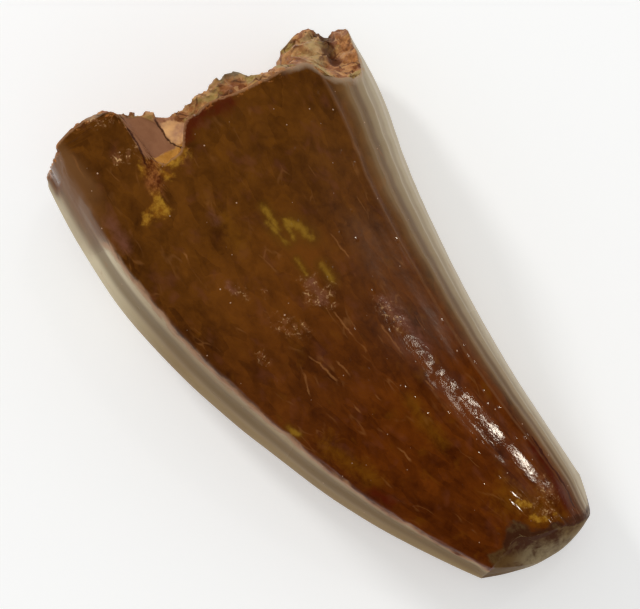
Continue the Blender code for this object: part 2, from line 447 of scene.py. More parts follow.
def lined(points, lines):
    """For each point, its offset to one side of the nearest line and its distance from that line."""
    offset, distance = np.full(len(points), FAR), np.full(len(points), FAR)
    for line in lines:
        for start, end in zip(line, line[1:]):
            away = beside(points, [start, end])
            way = np.subtract(end, start) / math.dist(start, end)
            aside = (points[:, 0] - start[0]) * way[1] - (points[:, 1] - start[1]) * way[0]
            nearer = away < distance
            offset = np.where(nearer, aside, offset)
            distance = np.where(nearer, away, distance)
    distance = np.where(looks_up(crown) > UPPER_SIDE, distance, FAR)
    return np.stack([offset, distance, 0 * distance], axis=1)

# %% [markdown]
# ## The flutes of the back edge
# Beside the back edge the enamel is fluted: hollow channels run along the grain between sharp crests. The
# solid has them as plain steps. Here the steps are evened out first, and then the channels are carved, each
# between two crests. They grow shallower towards the tip, and the innermost one runs out on the way.

# %% Flutes
CRESTS = [0.635, 0.745, 0.853, 0.930, 1.0]  # shares of half the width
CHANNELS = [0.11, 0.14, 0.12, 0.06]  # mm deep, each after its crest
FIRST_CREST = 0.04  # mm, how far the first crest stands above the face
LEFT_AT_TIP = 0.5  # share of the depth that is left at the tip
FIRST_ENDS = 5.0  # mm, how far along the first channel runs
FIRST_FADES = 9.0  # mm, over which it runs out

length, across, level = grain.T
fluted = (across > 0.66) & (level > 0.25) & (base_distance > 0.3) & (tip_distance > 0.3)
even_out(crown, fluted, 40)
strength = 1 - (1 - LEFT_AT_TIP) * ramp(length, -12.0, 12.0)
first_left = ramp(length, FIRST_ENDS, FIRST_ENDS - FIRST_FADES)
channels = np.zeros(len(across))
for number, depth in enumerate(CHANNELS):
    start, end = CRESTS[number:number + 2]
    way = np.clip((across - start) / (end - start), 0, 1)
    channels -= depth * 4 * way * (1 - way) * (first_left if number == 0 else strength)
channels += FIRST_CREST * np.exp(-np.abs(across - CRESTS[0]) / 0.02) * first_left
near_rims = ramp(base_distance, 0.0, 0.5) * ramp(tip_distance, 0.0, 0.5)
carve(crown, channels * near_rims * ramp(level, 0.2, 0.35))

# %% [markdown]
# ## The front edge
# The front edge is a steep narrow band under a sharp keel, which is rounded off beside the broken base.
# A shallow groove runs along the band, and the keel is a little proud of the face and chipped here and there.

# %% Front band and keel
KEEL = -0.862  # its share of half the width
KEEL_RISE = 0.05  # mm, as are all such heights and depths
GROOVE_LEVEL = 0.58  # its share of the height
GROOVE_WIDTH = 0.11
BAND_GROOVE = 0.12

round_end = (across < -0.70) & (level > 0.35) & (length < -9.0) & (base_distance > 0.15)
even_out(crown, round_end, 90)
waving = 0.04 * rough(grain, (4.0, 9.0, 9.0), 71.0)
groove = np.exp(-((level - GROOVE_LEVEL - waving) / GROOVE_WIDTH) ** 2) * ramp(across, -0.80, -0.87)
points = places(crown)
keel_chips = ramp(rough(points, 0.9, 15.0, 2), -0.1, 0.35)
keel = np.exp(-np.abs(across - KEEL) / 0.015) * ramp(level, 0.6, 0.8)
carve(crown, near_rims * (KEEL_RISE * keel * (1 - 2 * keel_chips) - BAND_GROOVE * groove))

# %% [markdown]
# ## The enamel's own surface
# Enamel grows in layers, so its surface has slow waves, and fine ridges and dimples lie along its grain. They
# fade at both ends, where the crown is broken and worn. One blunt ridge stands out: light runs along it in a
# narrow line, broken where a shallow furrow crosses it.

# %% Waves and ridges of the enamel
SLOW_WAVE = 0.03
RIDGES = 0.003
DIMPLES = 0.005
RIDGE_LINE = [(0.8, 0.6), (3.1, 0.77), (4.4, 0.98), (5.7, 1.11), (7.1, 1.38), (8.6, 1.47), (12.0, 1.75),
              (12.8, 1.9)]
RIDGE = 0.12
RIDGE_FRONT, RIDGE_REAR = 1.3, 0.55  # mm, how wide it is to either side
BLUNT = 0.55  # mm, how round its top is
FURROWS = [[(4.6, 1.4), (5.2, 0.5)], [(6.2, 1.6), (6.7, 0.8)], [(9.6, 2.0), (10.2, 1.0)],
           [(12.0, 2.2), (12.5, 1.4)]]
FURROW = 0.035

on_enamel = ramp(base_distance, 0.0, 0.8) * ramp(tip_distance, 0.0, 0.6)
waves = rough(grain, (5.0, 0.28, 0.28), 3.1, 2)
ridges = rough(grain, (10.0, 0.06, 0.06), 8.7, 2)
dimples = rough(grain, (1.3, 0.09, 0.09), 18.2, 2)
points = places(crown)
offset, from_ridge, _ = lined(points, [RIDGE_LINE]).T
sideways = ramp(offset, -BLUNT, BLUNT)
ridge_reach = RIDGE_REAR + (RIDGE_FRONT - RIDGE_REAR) * sideways
ridge = RIDGE * np.exp(-(np.hypot(from_ridge, BLUNT) - BLUNT) / ridge_reach)
furrows = FURROW * sum(ramp(beside(points, furrow), 0.3, 0.0) for furrow in FURROWS)
grown = SLOW_WAVE * waves + RIDGES * ridges + DIMPLES * dimples
carve(crown, on_enamel * (grown + ramp(level, 0.6, 0.8) * (ridge - furrows)))

# %% [markdown]
# ## The broken base
# Dentine breaks like old china: in flat chips, steps and crumbs. Large and small facets give the chips, and
# noise gives the crumbs between them. One wedge in the notch broke clean, so it is left nearly smooth.

# %% Fracture of the base
CHIPS, SMALL_CHIPS, CRUMBS = 0.17, 0.09, 0.05
CLEAN = 0.85  # share of them that the wedge goes without
ABOVE = 5.5  # mm, the notch and its wedges lie above this height
PINK_WEDGE = [(-13.9, -3.75), (-13.3, -2.9), (-12.5, -2.5), (-11.5, -2.65), (-10.9, -2.45), (-11.1, -3.1),
              (-11.2, -4.1)]

points = places(crown)
on_wedge = ramp(within(points, PINK_WEDGE), -0.1, 0.1) * (points[:, 2] > ABOVE)
inside_rim = ramp(base_distance, 0.0, -0.25)
broken = inside_rim * (1 - CLEAN * on_wedge)
chips = facets(points, 1.1, 21.0)
small_chips = facets(points, 0.5, 33.0)
crumbs = rough(points, 0.28, 47.0, 2)
carve(crown, broken * (CHIPS * chips + SMALL_CHIPS * small_chips + CRUMBS * crumbs))

# %% [markdown]
# The outline is brought a last tenth of a millimetre closer in two places: the front band swells a little
# towards the base, and the dentine of the notch lies a little further in.

# %% Last tenths of the outline
SWELL = 0.11
NOTCH_MIDDLE, NOTCH_REACH, NOTCH_FADES = -2.2, 3.6, 1.2  # mm, places across
NOTCH_IN = 0.14

swollen = ramp(across, -0.80, -0.92) * ramp(length, 4.0, -3.0) * ramp(level, 0.02, 0.15)
in_notch = ramp(np.abs(points[:, 1] - NOTCH_MIDDLE), NOTCH_REACH, NOTCH_REACH - NOTCH_FADES)
carve(crown, SWELL * swollen * near_rims - NOTCH_IN * inside_rim * in_notch)

# %% [markdown]
# The enamel's broken edge is chipped too. Small bites are pressed into the band beside the rim, only where
# the noise is high, so that whole stretches of the edge stay sharp.

# %% Bites in the enamel's edge
BITE = 0.2
BITTEN_BAND = 0.7

beside_rim = ramp(base_distance, BITTEN_BAND, 0.0) * ramp(base_distance, -0.3, 0.0)
bites = np.clip(rough(points, 0.6, 61.0, 2) - 0.05, 0, None)
carve(crown, -BITE * beside_rim * bites)

# %% [markdown]
# Some damage has its own place. Two cracks bound the smooth wedge of dentine in the notch, and below the
# notch the enamel is crushed to crumbs. At the back corner a deep gap parts two pointed splinters, and the
# colours paint the gap dark as painted shade. The worn face at the tip bites into the enamel in the middle of
# its rim, and beside it the enamel is crazed. Places are in millimetres, seen from above.

# %% Cracks, crumbs, hollow and tip
NOTCH_CRACKS = [[(-13.7, -3.65), (-12.8, -3.78), (-11.2, -4.12)],
                [(-12.5, -2.5), (-11.5, -2.62), (-10.9, -2.4)]]
CRUSHED = [(-11.1, -3.85), (-10.5, -4.2), (-10.1, -4.5)]
SPLINTER_GAP = [(-13.2, 8.1, 1.4), (-12.4, 7.85, 3.7), (-11.6, 7.35, 4.7), (-10.8, 7.15, 5.6)]
SHOULDER = [(-14.0, 6.3, 1.7), (-14.0, 6.95, 1.6)]
PEAK = [(-13.9, 7.6, 1.3), (-13.6, 7.8, 1.6)]
WORN_TIP = [(13.4, -2.5), (13.6, -1.65), (13.0, -0.9), (12.9, -0.45), (13.4, -0.05), (13.9, 0.0),
            (14.2, 0.65), (14.4, 1.5), (15.0, 1.5), (15.2, -0.5), (14.4, -2.5)]
CRAZED = [(12.3, 0.5), (13.2, 1.0), (13.7, 1.3)]
CRACK_DEPTH, WORN_DEPTH = 0.08, 0.16
CRUSHED_HEIGHT, CRAZED_HEIGHT = 0.09, 0.06
PEAK_HEIGHT, SHOULDER_DEPTH, GAP_DEPTH = 0.2, 0.35, 0.35

on_top = ramp(looks_up(crown), 0.0, 0.3)
cracked = sum(ramp(beside(points, crack), 0.16, 0.0) for crack in NOTCH_CRACKS)
crushed = ramp(beside(points, CRUSHED), 0.55, 0.2) * on_top
in_gap = ramp(beside(points, SPLINTER_GAP), 0.55, 0.1)
peaks = PEAK_HEIGHT * ramp(beside(points, PEAK), 0.5, 0.0)
peaks = peaks - SHOULDER_DEPTH * ramp(beside(points, SHOULDER), 0.7, 0.1) - GAP_DEPTH * in_gap
worn_in = within(points, WORN_TIP)
crazed = ramp(beside(points, CRAZED), 0.7, 0.2) * on_top
crumbled = facets(points, 0.32, 52.0) * (CRUSHED_HEIGHT * crushed + CRAZED_HEIGHT * crazed)
carve(crown, crumbled + peaks - on_top * (CRACK_DEPTH * cracked + WORN_DEPTH * ramp(worn_in, 0.0, 0.7)))
tip_corner = (length > 13.3) & (across > 0.35)
even_out(crown, tip_corner, 25)

# %% [markdown]
# ## Finish the skin
# The normals are smoothed over the whole crown, apart from the sharp corners of the broken base.

# %% Shading
SHARP_FROM = 50  # degrees between two faces
only(crown)
bpy.ops.object.shade_smooth_by_angle(angle=math.radians(SHARP_FROM))
print("Edges of more than", SHARP_FROM, "degrees stay sharp")

# %% [markdown]
# ## Marks
# The enamel has stains and flaws that belong to this one tooth. A patch is a path with a width, and every
# point keeps how deep it lies inside the nearest patch of a kind. A scratch or a crack is thinner than the
# skin's own points are apart. So for those each point keeps its distance to either side of the nearest line,
# from which a material can draw a line as thin as it likes. Marks lie on the upper side, or high up.
#
# Some marks are not colours. On the ridge, the highlight is broken where the enamel is dull or a furrow runs,
# and whole where it is calm. The worn face reaches further back on top than at the sides. Two marks paint
# light: the gap at the back corner is painted shade, and one purple patch along the ridge is painted sheen.


# %% Marking tools
def patched(points, patches):
    """Depth inside the nearest patch: 1 on its path, 0 at its edge and at least -2 outside it."""
    depth = np.full(len(points), -2.0)
    for width, path in patches:
        depth = np.maximum(depth, 1 - beside(points, path) / (width / 2))
    return np.where((looks_up(crown) > UPPER_SIDE) | (points[:, 2] > ABOVE), depth, -2)


# %% Patches and lines
GOLD = [  # yellow iron stain: (width, path), in millimetres
    (0.35, [(-6.1, -1.0), (-4.6, -1.1)]), (0.35, [(-5.3, -1.35), (-4.0, -1.2)]),
    (0.30, [(-5.0, -0.6), (-4.0, -0.8)]), (0.55, [(-4.7, -0.5), (-4.3, -0.2), (-3.6, -0.1)]),
    (0.45, [(-2.2, -0.5), (-1.4, -0.5)]), (0.30, [(-3.1, -1.3), (-2.2, -1.36)]),
    (0.30, [(2.9, -6.45), (3.4, -6.25)])]
HONEY = [  # orange-yellow stain
    (0.55, [(-9.9, -4.7), (-9.3, -4.85), (-8.8, -4.85)]), (0.60, [(-9.2, -5.0), (-9.1, -5.8)]),
    (0.95, [(-11.0, -4.0), (-10.7, -3.3), (-10.6, -2.5)]), (0.45, [(-10.3, -3.9), (-9.9, -3.6)]),
    (0.35, [(12.4, 0.3), (12.8, 0.6)]), (0.25, [(13.3, 0.3), (13.7, 0.6), (14.0, 1.4)])]
AMBER = [  # the same stain, deeper in the enamel
    (1.1, [(-6.8, -2.8), (-5.3, -3.0)]), (1.1, [(4.6, -5.5), (6.0, -5.1), (7.4, -4.7)]),
    (0.9, [(5.2, -1.0), (6.5, -1.0), (8.0, -1.0)]), (2.2, [(11.8, 0.1), (12.6, 0.6), (13.4, 0.9)]),
    (0.9, [(13.5, 0.2), (14.1, 0.8), (14.3, 1.6)]), (0.8, [(-11.6, 0.3), (-11.9, 2.3)])]
RUST = [  # dark red
    (1.00, [(-10.8, -2.1), (-11.4, -1.4), (-11.5, -0.5), (-11.1, 0.8)]), (0.80, [(7.7, -5.0), (8.5, -4.8)]),
    (0.45, [(10.5, 2.6), (12.4, 2.5), (14.0, 2.2)])]
# Purple-grey stains. The one along the upper end of the ridge is painted pink sheen, where the ridge's light
# is dim.
VIOLET_AND_SHEEN = [  # purple-grey
    (0.80, [(-10.2, -7.2), (-9.3, -7.2), (-8.6, -7.3)]), (0.50, [(-7.4, -3.2), (-6.8, -3.2)]),
    (0.50, [(-4.1, -4.6), (-3.6, -4.6)]), (0.80, [(0.9, 0.9), (2.2, 1.1), (3.8, 1.2)]),
    (0.70, [(-1.9, -1.4), (-0.8, -1.5)])]
# Crumbly spots that glitter: the glitter is partly painted, as pale specks and curled rims, and partly bump.
SPARKS = [  # crumbly spots that glitter
    (0.8, [(-2.0, -1.5), (-1.0, -0.9)]), (0.8, [(-1.4, -1.9), (-0.6, -1.4)]),
    (0.9, [(-1.3, -3.8), (-0.3, -3.2)]), (0.6, [(-0.6, -5.4), (-0.3, -5.3)]),
    (0.7, [(-3.8, -4.6), (-3.5, -4.3)]), (0.5, [(-2.8, -3.4), (-2.6, -3.4)]),
    (0.8, [(-12.2, -5.0), (-12.0, -4.2)]), (0.7, [(-14.6, -5.0), (-14.0, -4.3)]),
    (0.7, [(12.3, 0.4), (12.8, 0.5)]), (0.9, [(13.1, 1.1), (13.8, 1.3)]),
    (0.9, [(12.5, 1.95), (13.2, 1.7)]), (1.0, [(1.1, 0.7), (2.2, 0.9)])]
SLABS = [(1.2, [(-13.3, 7.3), (-12.3, 6.9), (-11.4, 6.3)])]  # smooth greenish dentine
MURK = [(1.0, [(-12.7, 1.4), (-12.5, 2.0)])]  # dark olive dentine
DARK_TIP = [(2.2, [(13.3, -1.2), (13.9, -0.3), (14.3, 0.8)])]  # the dark part of the worn face
SCRATCHES = [
    [(-4.2, 0.98), (-3.2, 0.83), (-2.0, 0.79)], [(-6.4, -5.4), (-5.6, -5.5), (-4.9, -5.5)],
    [(1.2, -4.3), (2.1, -4.6)], [(4.1, -3.3), (5.6, -3.05), (7.4, -2.8)],
    [(2.0, 0.05), (3.6, 0.02), (5.4, 0.2)], [(0.2, -1.4), (1.1, -1.4), (2.1, -1.35)],
    [(1.1, -3.6), (2.3, -3.3)], [(2.1, -2.7), (3.2, -2.5), (4.3, -2.2)]]
DULL = [  # matte stretches beside the ridge
    (0.9, [(4.0, 0.3), (5.4, 0.55), (6.8, 0.7), (7.8, 0.8)]), (0.9, [(11.2, 0.75), (12.6, 0.95)])]
CALM = [(0.7, [(8.9, 1.4), (9.3, 1.45)]), (0.9, [(10.8, 1.6), (11.9, 1.8)])]  # smooth stretches of the ridge
WHITE_WEDGE = [(-12.5, -2.45), (-11.5, -2.6), (-10.9, -2.35), (-11.0, -1.9), (-11.6, -1.4), (-12.2, -1.8)]
TIP_CRACK = [(10.5, 2.86), (11.3, 2.8), (13.3, 2.7), (14.1, 2.5)]
WORN_FROM = 14.15  # mm along: past it the whole end is worn, and before it only the top

points = places(crown)
for name, patches in {"gold": GOLD, "honey": HONEY, "calm": CALM, "dull": DULL, "amber": AMBER, "rust": RUST,
                      "violet_and_sheen": VIOLET_AND_SHEEN, "sparks": SPARKS, "slabs": SLABS, "murk": MURK,
                      "dark_tip": DARK_TIP}.items():
    keep(crown, name, patched(points, patches))
for name, outline in {"pink_wedge": PINK_WEDGE, "white_wedge": WHITE_WEDGE}.items():
    keep(crown, name, np.where(points[:, 2] > ABOVE, within(points, outline), -2))
keep(crown, "furrows", np.max([ramp(beside(points, furrow), 0.45, 0.2) for furrow in FURROWS], axis=0))
keep(crown, "worn", np.maximum(worn_in, np.where(points[:, 0] > WORN_FROM, -tip_distance, -1)))
keep(crown, "ridge", ramp(from_ridge, 0.8, 0.15))
keep(crown, "crushed", crushed)
keep(crown, "hollow", in_gap)
keep(crown, "scratches", lined(points, SCRATCHES), "FLOAT_VECTOR")
keep(crown, "cracks", lined(points, NOTCH_CRACKS + [TIP_CRACK]), "FLOAT_VECTOR")
print("Marks kept:", [attribute.name for attribute in crown.data.attributes if attribute.name[0] != "."])

# %% [markdown]
# ## A way to write materials
# A procedural material is arithmetic on textures. As nodes and links it is hard to read, so two small classes
# help: a Value is one socket whose arithmetic adds Math nodes, and a Finish is a material with one method
# that makes any other node.


# %% Value and Finish
def tint(red, green, blue):
    """A colour from screen values of 0 to 255, as the linear numbers that a shader takes."""
    linear = [value / 255 / 12.92 if value < 10 else ((value / 255 + 0.055) / 1.055) ** 2.4
              for value in (red, green, blue)]
    return (*linear, 1)


class Value:
    """A number that varies over a surface. Arithmetic on it adds Math nodes."""

    def __init__(self, finish, socket):
        self.finish = finish
        self.socket = socket

    def __add__(self, other):
        return self.finish.maths("ADD", self, other)

    def __radd__(self, other):
        return self.finish.maths("ADD", other, self)

    def __sub__(self, other):
        return self.finish.maths("SUBTRACT", self, other)

    def __rsub__(self, other):
        return self.finish.maths("SUBTRACT", other, self)

    def __mul__(self, other):
        return self.finish.maths("MULTIPLY", self, other)

    def __rmul__(self, other):
        return self.finish.maths("MULTIPLY", other, self)

    def __abs__(self):
        return self.finish.maths("ABSOLUTE", self)


class Finish:
    """A material that is being made."""

    def __init__(self, name):
        self.material = bpy.data.materials.new(name)
        self.material.use_nodes = True
        self.tree = self.material.node_tree
        self.shader = self.tree.nodes["Principled BSDF"]

    def feed(self, node, socket, value):
        """Sets one input of a node, to a value or to a link."""
        if isinstance(value, Value):
            self.tree.links.new(value.socket, node.inputs[socket])
        else:
            node.inputs[socket].default_value = value

    def node(self, kind, settings, inputs, output=0):
        """Any node: its settings, then the values or links of its inputs. Gives one of its outputs."""
        made = self.tree.nodes.new(kind)
        for setting, value in settings.items():
            setattr(made, setting, value)
        for socket, value in inputs.items():
            self.feed(made, socket, value)
        return Value(self, made.outputs[output])

    def maths(self, operation, first, second=0.0):
        """A Math node."""
        return self.node("ShaderNodeMath", {"operation": operation}, {0: first, 1: second})

    def highest(self, *values):
        """The highest of several values."""
        top = values[0]
        for value in values[1:]:
            top = self.maths("MAXIMUM", top, value)
        return top

    def steps(self, value, start, end):
        """Goes smoothly from 0 at start to 1 at end."""
        return self.node("ShaderNodeMapRange", {"interpolation_type": "SMOOTHSTEP"},
                         {"Value": value, "From Min": start, "From Max": end})

    def mix(self, share, first, second):
        """Two colours mixed. A colour may be given as its screen values."""
        first, second = (tint(*colour) if isinstance(colour, tuple) else colour for colour in (first, second))
        return self.node("ShaderNodeMix", {"data_type": "RGBA"}, {0: share, 6: first, 7: second}, 2)

    def attribute(self, name, output="Fac"):
        """What was stored on the points under this name."""
        return self.node("ShaderNodeAttribute", {"attribute_name": name}, {}, output)

    def part(self, vector, direction):
        """One direction of a vector: "X", "Y" or "Z"."""
        return self.node("ShaderNodeSeparateXYZ", {}, {0: vector}, direction)

    def stretch(self, vector, *size):
        """A place divided by a grain size, one for all directions or one for each."""
        return self.node("ShaderNodeVectorMath", {"operation": "DIVIDE"}, {0: vector, 1: (size * 3)[:3]})

    def noise(self, vector, seed, detail=2.0, roughness=0.5, distortion=0.0, output=0):
        """Noise from 0 to 1. The fourth dimension is its seed."""
        return self.node("ShaderNodeTexNoise", {"noise_dimensions": "4D"},
                         {"Vector": vector, "W": seed, "Scale": 1.0, "Detail": detail,
                          "Roughness": roughness, "Distortion": distortion}, output)

    def warp(self, vector, seed, amount):
        """A place shifted by noise, which bends the straight edges of cells."""
        shift = self.noise(vector, seed, 2.0, output="Color")
        return self.node("ShaderNodeVectorMath", {"operation": "MULTIPLY_ADD"},
                         {0: shift, 1: (amount, amount, amount), 2: vector})

    def cells(self, vector, output="Distance", feature="F1"):
        """Cells round scattered points: the distance to the point, or a colour for each cell."""
        return self.node("ShaderNodeTexVoronoi", {"feature": feature}, {"Vector": vector, "Scale": 1.0},
                         output)

    def edge_of_cells(self, vector):
        """The distance to the edge of the nearest cell."""
        return self.cells(vector, "Distance", "DISTANCE_TO_EDGE")

    def count(self):
        """Prints how far the material has grown."""
        print("The finish has", len(self.tree.nodes), "nodes")

# %% [markdown]
# ## The enamel's colours
# Mineral water coloured this enamel from within. It is olive-brown towards the base and red-brown towards the
# tip, clouded, and made up of thin flakes that lie along the grain, each a little lighter or darker than the
# next. The middle of the upper face is brighter.

# %% Body of the enamel
enamel = Finish("enamel")
mix, steps, part, stretch, highest = enamel.mix, enamel.steps, enamel.part, enamel.stretch, enamel.highest
place = enamel.node("ShaderNodeVectorMath", {"operation": "SCALE"},
                    {0: enamel.node("ShaderNodeTexCoord", {}, {}, "Object"), "Scale": 1 / MM})
flow = enamel.attribute("grain", "Vector")
along_on, across_on, level_on = (part(flow, direction) for direction in "XYZ")
from_rim = enamel.attribute("base_distance")
fine = enamel.noise(stretch(place, 0.35), 3.0, 4.0, 0.65)

clouds = enamel.noise(stretch(flow, 4.5, 0.27, 0.27), 1.0, 4.0, 0.6, 0.6)
flakes = enamel.warp(stretch(flow, 1.7, 0.085, 0.085), 4.0, 0.9)
flake_tone = part(enamel.cells(flakes, "Color"), "X")
smudges = enamel.noise(stretch(place, 0.8, 0.6, 0.8), 7.0, 3.0, 0.6, 0.6)
blushes = enamel.noise(stretch(place, 1.3, 0.9, 1.3), 15.0, 2.0, 0.6, 0.4)
tone = 0.24 + (clouds - 0.5) * 1.6 + (smudges - 0.5) * 1.2 + flake_tone * 0.3 + fine * 0.25
bright_middle = steps(abs(along_on + 3.0), 3.5, 0.8)
bright_middle = bright_middle * steps(abs(across_on + 0.25), 0.5, 0.1)
tone = tone + bright_middle * 0.4
olive = mix(tone, (66, 32, 3), (118, 68, 14))
red = mix(tone, (64, 22, 2), (118, 56, 9))
body = mix(steps(along_on, -9.0, 8.0), olive, red)
body = mix(steps(blushes, 0.54, 0.72) * 0.25, body, (122, 68, 48))
body = mix(steps(blushes, 0.44, 0.28) * 0.35, body, (122, 70, 8))
enamel.count()

# %% [markdown]
# The two flanks are weathered and pale khaki. The khaki is partly their own colour and partly painted
# reflection of the bright table, which a glassy flank at that slant would mirror. The front one starts at the
# keel, which wavers a little, and its groove is painted darker, as painted shade. High up beside the broken
# base it turns brown again. At the back, lines follow the flutes: paler ones on two crests, and darker ones
# in the channels as painted shade.

# %% Flanks
# Lines along the flutes: the two on crests are paler, and the two in the channels darker, as painted shade.
FLUTE_LINES_AND_SHADE = [  # (place across, half width, strength, colour)
    (0.635, 0.018, 0.4, (130, 88, 54)), (0.745, 0.026, 0.6, (146, 118, 84)),
    (0.80, 0.03, 0.6, (100, 66, 32)), (0.895, 0.025, 0.5, (132, 104, 66))]
GROOVE_AT = 0.56  # share of the height

keel_at = -0.875 - steps(along_on, -9.0, -11.0) * 0.07 + (smudges - 0.5) * 0.03
softness = 0.02 + steps(along_on, -9.0, -12.0) * 0.09
front_edge = steps(across_on - keel_at, softness, 0 - softness)
edges = highest(steps(across_on, 0.62, 0.90), front_edge)
# Pale khaki: partly the flanks' own colour, partly painted reflection of the bright table.
flank = mix(clouds, (140, 113, 76), (172, 148, 106))
flank = mix(steps(across_on, 0.76, 0.95) * 0.7, flank, (226, 212, 184))
in_front = steps(across_on, -0.5, -0.8)
flank = mix(in_front * steps(along_on, -3.0, -11.0) * 0.85, flank, (234, 220, 186))
# The carved groove is painted darker: painted shade.
groove_painted_shade = steps(abs(level_on - GROOVE_AT), 0.17, 0.05)
flank = mix(in_front * groove_painted_shade * 0.75, flank, (112, 88, 52))
flank = mix(in_front * steps(level_on, 0.70, 0.85) * 0.6, flank, (198, 176, 140))
body = mix(edges * 0.88, body, flank)
for crest, width, share, shade in FLUTE_LINES_AND_SHADE:
    body = mix(steps(abs(across_on - crest), width, width * 0.2) * share, body, shade)
keel_line = steps(abs(across_on - keel_at), 0.014, 0.002) * steps(level_on, 0.6, 0.8)
body = mix(keel_line * 0.35, body, (184, 112, 62))
faded = steps(along_on, -9.0, -12.0) * steps(across_on, -0.70, -0.92)
body = mix(faded * 0.5 * steps(level_on, 0.5, 0.6), body, (128, 88, 52))
brown_lobe = steps(part(place, "X"), -11.0, -12.5)
brown_lobe = brown_lobe * steps(part(place, "Y"), -6.4, -6.9)
brown_lobe = brown_lobe * steps(part(place, "Z"), 5.0, 7.2)
body = mix(brown_lobe * 0.95, body, mix(clouds, (104, 62, 26), (128, 90, 54)))
enamel.count()

# %% [markdown]
# Thin pale seams show between some of the flakes. Pale specks lie scattered between them, most of them where
# the enamel is crushed or crumbly: they are painted glints, which the bump also raises. There the crumbs get
# pale curled rims, painted glints too, and beside the broken rim the crumbs are orange.

# %% Seams and specks
seam_place = enamel.warp(stretch(flow, 2.6, 0.11, 0.11), 8.0, 1.2)
seam_edge = enamel.edge_of_cells(seam_place)
seam_here = enamel.noise(stretch(flow, 1.5, 0.12, 0.12), 9.0, 2.0)
seams = steps(seam_edge, 0.06, 0.0) * steps(seam_here, 0.55, 0.7)
body = mix(seams * 0.3, body, (160, 104, 54))

speck_place = stretch(place, 0.24)
speck_lot = part(enamel.cells(speck_place, "Color"), "Y")
# Pale specks: painted glints.
speck = steps(enamel.cells(speck_place) + (fine - 0.5) * 0.5, 0.16, 0.08)
crushed_on = enamel.attribute("crushed")
sparks = steps(enamel.attribute("sparks") + (smudges - 0.5) * 3.0, -0.3, 1.0)
clusters = steps(enamel.noise(stretch(place, 2.2), 13.0, 1.0), 0.5, 0.75)
speck = speck * steps(speck_lot + crushed_on * 0.5 + sparks * 0.4 + clusters * 0.1, 0.96, 0.975)
curl_cells = enamel.warp(stretch(place, 0.32), 18.0, 0.9)
glint_curls = steps(enamel.edge_of_cells(curl_cells), 0.13, 0.03)
dots = enamel.noise(stretch(place, 0.11), 21.0, 1.0)
glint_curls = glint_curls * steps(dots, 0.46, 0.56)
crumbly = sparks * steps(fine, 0.45, 0.6)
body = mix(crumbly * 0.3, body, (168, 112, 76))
# Pale curled rims on the crumbs: painted glints.
body = mix(crumbly * glint_curls * 0.8, body, (232, 186, 126))
crumbly_rim = steps(from_rim + (smudges - 0.5) * 0.9, 0.35, 0.05)
rim_chips = steps(fine, 0.52, 0.6)
body = mix(crumbly_rim * rim_chips * 0.7, body, (206, 128, 62))
body = mix(speck * 0.8, body, (222, 180, 146))
enamel.count()

# %% [markdown]
# ## The marks
# Each patch gets a ragged edge from noise, and the yellow stain a faint halo. Scratches and cracks are drawn
# from the distances that the points keep.


# %% Patches, scratches and cracks
def patch(name, core=1.2):
    """How much a kind of patch covers, from 0 outside it to 1 in its core."""
    torn = (smudges - 0.5) * 3.0 + (fine - 0.5) * 1.5
    return steps(enamel.attribute(name) + torn, -0.4, core)


def line(name, width):
    """How much the lines of one name cover, from 0 to 1."""
    near = enamel.attribute(name, "Vector")
    aside = abs(part(near, "X") + (smudges - 0.5) * 0.4)
    return steps(aside, width, width * 0.3) * steps(part(near, "Y"), 0.35, 0.15)


body = mix(patch("amber", 1.8) * 0.7, body, (128, 78, 12))
gold = patch("gold")
halo = steps(enamel.attribute("gold") + (smudges - 0.5) * 3.0, -1.9, 0.0)
body = mix(halo * 0.35, body, (96, 62, 8))
body = mix(gold * 0.7, body, mix(gold, (116, 80, 10), (164, 122, 32)))
honey = patch("honey", 0.6)
grainy = steps(fine, 0.35, 0.65)
body = mix(honey * 0.8, body, mix(grainy, (142, 86, 14), (190, 138, 40)))
body = mix(patch("rust") * 0.8, body, (84, 20, 5))
# Purple-grey stains, and along the ridge's upper end a painted pink sheen.
body = mix(patch("violet_and_sheen", 1.8) * 0.6, body, (130, 82, 68))
crumb_tone = mix(grainy, (84, 28, 8), (168, 100, 50))
body = mix(crushed_on * 0.8, body, crumb_tone)
broken_up = steps(seam_here, 0.42, 0.56)
body = mix(line("scratches", 0.06) * broken_up * 0.4, body, (176, 116, 62))
enamel.count()

# %% [markdown]
# ## The dentine and the worn tip
# Where the crown is broken the dentine shows, in crumbs of orange, yellow-green and pink stone with dark
# seams. The two wedges in the notch are plain pink and nearly white, smooth slabs lie at the back corner, and
# the honey stain runs on from the enamel.

# %% Dentine colours
blotches = enamel.noise(stretch(place, 1.4), 11.0, 3.0, 0.55)
others = enamel.noise(stretch(place, 1.1), 12.0, 3.0, 0.55)
crumb_cells = enamel.warp(stretch(place, 0.42), 16.0, 0.7)
crumb_lot = part(enamel.cells(crumb_cells, "Color"), "X")
dentine = mix(steps(fine, 0.25, 0.75), (124, 66, 24), (206, 142, 82))
dentine = mix(steps(crumb_lot, 0.6, 0.8) * 0.5, dentine, (214, 164, 108))
dentine = mix(steps(crumb_lot, 0.35, 0.15) * 0.5, dentine, (122, 58, 24))
greenish = mix(fine, (112, 88, 28), (200, 172, 98))
dentine = mix(steps(blotches, 0.5, 0.62) * 0.8, dentine, greenish)
dentine = mix(steps(others, 0.55, 0.68) * 0.5, dentine, (164, 112, 96))
seam_cells = enamel.warp(stretch(place, 0.9), 14.0, 0.8)
dark_seams = enamel.edge_of_cells(seam_cells)
seamed = steps(dark_seams, 0.09, 0.0) * steps(others, 0.56, 0.42)
dentine = mix(seamed * 0.8, dentine, (78, 28, 8))
pink = steps(enamel.attribute("pink_wedge") + (fine - 0.5) * 0.15, -0.04, 0.06)
white = steps(enamel.attribute("white_wedge") + (fine - 0.5) * 0.3, -0.05, 0.08)
